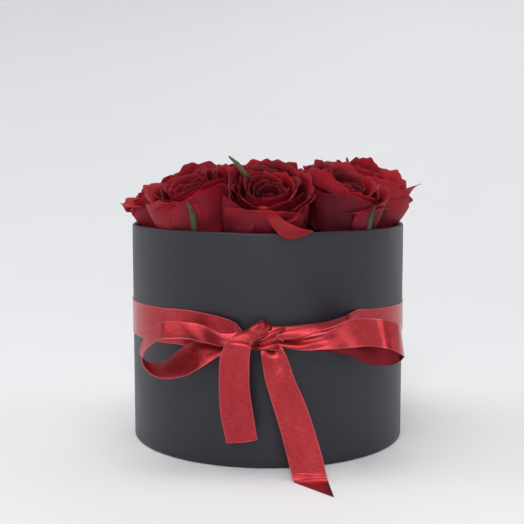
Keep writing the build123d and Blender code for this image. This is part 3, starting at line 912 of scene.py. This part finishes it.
def petals_of(rose):
    """The petals of a rose from its heart outwards."""
    rng = np.random.default_rng(rose.seed)
    size, tall, bloom = 0.15 + rose.radius / 25.0, rose.tall, rose.bloom
    golden = math.radians(137.5)
    turn = math.radians(rose.turn)
    made = []
    hearts, middles, outers = 11, 7, 6
    # heart petals get darker tones, at random within that range: painted shade deep in the heart
    for i in range(hearts):
        t = i / (hearts - 1)
        r = (1.5 + 9.5 * t**0.85) * size
        shift, rise = rng.normal() * 0.22, rng.normal() * 0.7
        made.append(petal(turn + i * golden + shift, r, r * (0.9 + 0.12 * bloom),
                          (25 + 10 * t + rise) * tall,
                          (7 + 9 * t) * size, 12 + 38 * t * bloom, 0.88, rng.uniform(0.5, 1.0), rng,
                          foot=0.8 + 2 * t, flat=0.0, spiral=1.0, waver=0.12 + 0.25 * t, tip=0.0,
                          corner=0.07 + 0.06 * t))
    for i in range(middles):
        t = i / (middles - 1)
        r = (12.0 + 4.5 * t) * size
        shift = rng.normal() * 0.18
        made.append(petal(turn + (hearts + i) * golden + shift, r, r * (0.94 + 0.16 * bloom * t),
                          (37.5 - 1.5 * t + rng.normal() * 1.1) * tall, 17.5 * size,
                          25 + 50 * t * bloom + rng.uniform(-8, 12), 0.85, rng.uniform(0.15, 0.8),
                          rng, flat=0.12, waver=0.50 + 0.25 * t, tip=0.02, corner=0.15))
    shown = SHOWN_PETALS.get(rose.name, [])
    placed = [math.radians(rose.bearing - row[0]) for row in shown]
    for i in range(outers):
        t = i / (outers - 1)
        azimuth = turn + (hearts + middles + i) * golden
        # a petal behind a listed one is drawn in, so that it doesn't cut through it
        turns = [abs((azimuth - p + math.pi) % (2 * math.pi) - math.pi) for p in placed]
        hidden = bool(turns) and min(turns) < 0.6
        belly = (17.5 + 3.2 * t) * size if hidden else (18.0 + 5.0 * t) * size
        made.append(petal(azimuth, belly, belly + (0.5 + 2.2 * bloom) * t * size,
                          (36.5 - 4.0 * t + rng.normal() * 0.8) * tall, 19.5 * size,
                          35 + 65 * bloom * t + rng.uniform(-10, 20), 0.83 - 0.05 * t,
                          rng.uniform(0.0, 0.7), rng, foot=5.0, waver=0.75))
    for bearing, *shape in shown:
        azimuth = math.radians(rose.bearing - bearing)
        made.append(petal(azimuth, *shape, rng, waver=0.55, foot=5.5, low=0.18))
    return made


class Heap:
    """Gathers thin shells into one mesh."""

    def __init__(self):
        self.verts, self.faces, self.layers, self.count = [], [], {}, 0

    def add(self, sheet, half, layers):
        verts, faces, second = shell(sheet, half)
        self.verts.append(verts)
        self.faces.append(faces + self.count)
        self.count += len(verts)
        both = {key: np.tile(np.ravel(value), 2) for key, value in layers.items()}
        for key, value in {**both, "outside": second}.items():
            self.layers.setdefault(key, []).append(value)

    def build(self, name, material):
        layers = {key: np.concatenate(value) for key, value in self.layers.items()}
        return new_mesh(name, np.vstack(self.verts), np.vstack(self.faces), material, layers)


def make_petals(rose, planes):
    heap = Heap()
    for local, layers in petals_of(rose):
        half = 0.17 - 0.09 * smooth(layers["rim"])
        heap.add(press(rose.world(local), planes), half, layers)
    dress(heap.build(rose.name + "_flower", MATERIALS["rose_petal"]), rose.name, "rose_petal",
          rose.name + "_petals")


# Long sepals that show from the front: the middle of the blade from its foot to its point, and
# its half width. The other sepals are short and lie against the foot of the flower.
LONG_SEPALS = {
    "rose_08": ([(-40, -65.5, 128), (-40.5, -66.5, 133), (-41, -68, 138),
                 (-42, -69.5, 141.5), (-44, -71, 145.5)], 2.2),
    "rose_02": ([(56, -57.5, 128), (56.5, -59, 133), (57, -61.5, 137),
                 (58, -63, 140.5), (58.5, -64.5, 143)], 1.5),
    "rose_01": ([(-10.5, -57.5, 157), (-11.5, -61, 159), (-14, -61.5, 162),
                 (-16.5, -58.5, 165.5), (-19.5, -54.5, 168), (-22, -50.5, 170)], 1.9),
}


def blade(points, width):
    """A long sepal as a grid of points: creased along its middle and ragged at its edges."""
    line = spline(points, 60)
    side = unit(np.cross(np.gradient(line, axis=0), (0.0, 1.0, 0.25)))
    s = np.linspace(0, 1, 60)[None, :, None]
    u = np.linspace(-1, 1, 9)[:, None, None]
    ragged = 1 + 0.10 * np.sin(38 * s) * np.sign(u) + 0.05 * np.sin(90 * s)
    half = width * (1 - s) ** 0.6 * (0.75 + 0.55 * s) * ragged
    return line[None] + side[None] * u * half + np.array([0, -0.5, 0]) * (1 - np.abs(u))


def sepal(azimuth, reach, stand_off, radius, rng):
    """One short pointed sepal lying against the flower, as a grid of the flower's own points."""
    nu, nv = 9, 26
    u, v = np.linspace(-1, 1, nu)[:, None], np.linspace(0, 1, nv)[None, :]
    below, hip = 1.6, 5.4
    up = -below + (reach + below) * v ** 1.25
    side = hip + (radius + 0.9 - hip) * np.sin(math.pi / 2 * np.clip((up + below) / 9.5, 0, 1))
    side = side + stand_off * smooth((v - 0.6) / 0.4) + 0.35 * (1 - u**2)
    teeth = 1 + 0.12 * np.sin(34 * v + rng.uniform(0, 6)) * np.sign(u)
    half = 2.5 * (1 - v) ** 0.65 * (0.7 + 0.75 * v * (1 - v)) * teeth
    sway = 1.4 * np.sin(2.2 * v + rng.uniform(-0.6, 0.6)) * v
    x, y, z = side, u * half + sway, up + 0 * u
    c, s = math.cos(azimuth), math.sin(azimuth)
    return np.stack([x * c - y * s, x * s + y * c, z], -1)


def make_sepals(rose, planes):
    rng = np.random.default_rng(rose.seed + 1)
    heap = Heap()
    for k in range(5):
        azimuth = math.radians(72 * k + 54) + rng.normal() * 0.08
        reach, stand_off = rng.uniform(3.5, 7.0), rng.uniform(-0.5, 0.5)
        points = rose.world(sepal(azimuth, reach, stand_off, rose.radius - 5.5, rng))
        heap.add(press(points, planes, 0.6, 0.2), 0.22, {})
    if rose.name in LONG_SEPALS:
        heap.add(blade(*LONG_SEPALS[rose.name]), 0.22, {})
    dress(heap.build(rose.name + "_calyx", MATERIALS["rose_sepal"]), rose.name, "rose_sepal",
          rose.name + "_sepals")


# The petal that droops from the front rose over the rim, between its upper and lower edges.
DROOPING_PETAL = (
    [(-4, -77.5, 141.5), (-3.5, -80, 143.5), (0, -81.5, 143), (4.5, -82.5, 140),
     (8.5, -84, 136.5), (13, -85, 134), (18, -84.5, 132), (24, -81, 130.5)],
    [(-6.5, -77.5, 141), (-5.5, -80, 143), (-1.5, -82.5, 138.5), (2, -84.5, 133.5),
     (7, -85.5, 128), (13, -85.5, 126.5), (19, -84, 128), (24.5, -81.5, 130)],
)


def make_drooping_petal():
    one, two = spline(DROOPING_PETAL[0], 50), spline(DROOPING_PETAL[1], 50)
    t = np.linspace(0, 1, 17)[:, None]
    points = one * (1 - t[..., None]) + two * t[..., None]
    s = np.linspace(0, 1, 50)[None, :]
    crown = (1 - (2 * t - 1) ** 2) * np.sin(math.pi * s)
    points[..., 1] -= 1.1 * crown + 0.25 * np.sin(9 * s + 3 * t) * crown
    layers = {"rim": 0.84 + 0.14 * np.abs(2 * t - 1) ** 3 + 0 * s, "across": 2 * t - 1 + 0 * s,
              "tone": 0.05 + 0 * t * s}
    heap = Heap()
    heap.add(points, 0.12, layers)
    dress(heap.build("rose_01_drooping_petal", MATERIALS["rose_petal"]), "rose_01", "rose_petal")


def make_roses():
    roses = [Rose(*row) for row in ROSES]
    planes = shared_planes(roses)
    for rose in roses:
        make_petals(rose, planes[rose.name])
        make_sepals(rose, planes[rose.name])
    make_drooping_petal()


# ---------------------------------------------------------------- CAD nodes that stay
def paint_cad():
    """Gives each CAD node that is shown the full material of its record slot."""
    slots = {row["node"]: row["material_slot"] for row in frame["record"]["subparts"]}
    for name, obj in frame["nodes"].items():
        obj.data.materials.clear()
        obj.data.materials.append(MATERIALS[slots[name]])


make_camera()
make_studio()
paint_cad()
make_wrap()
make_ribbon()
make_roses()
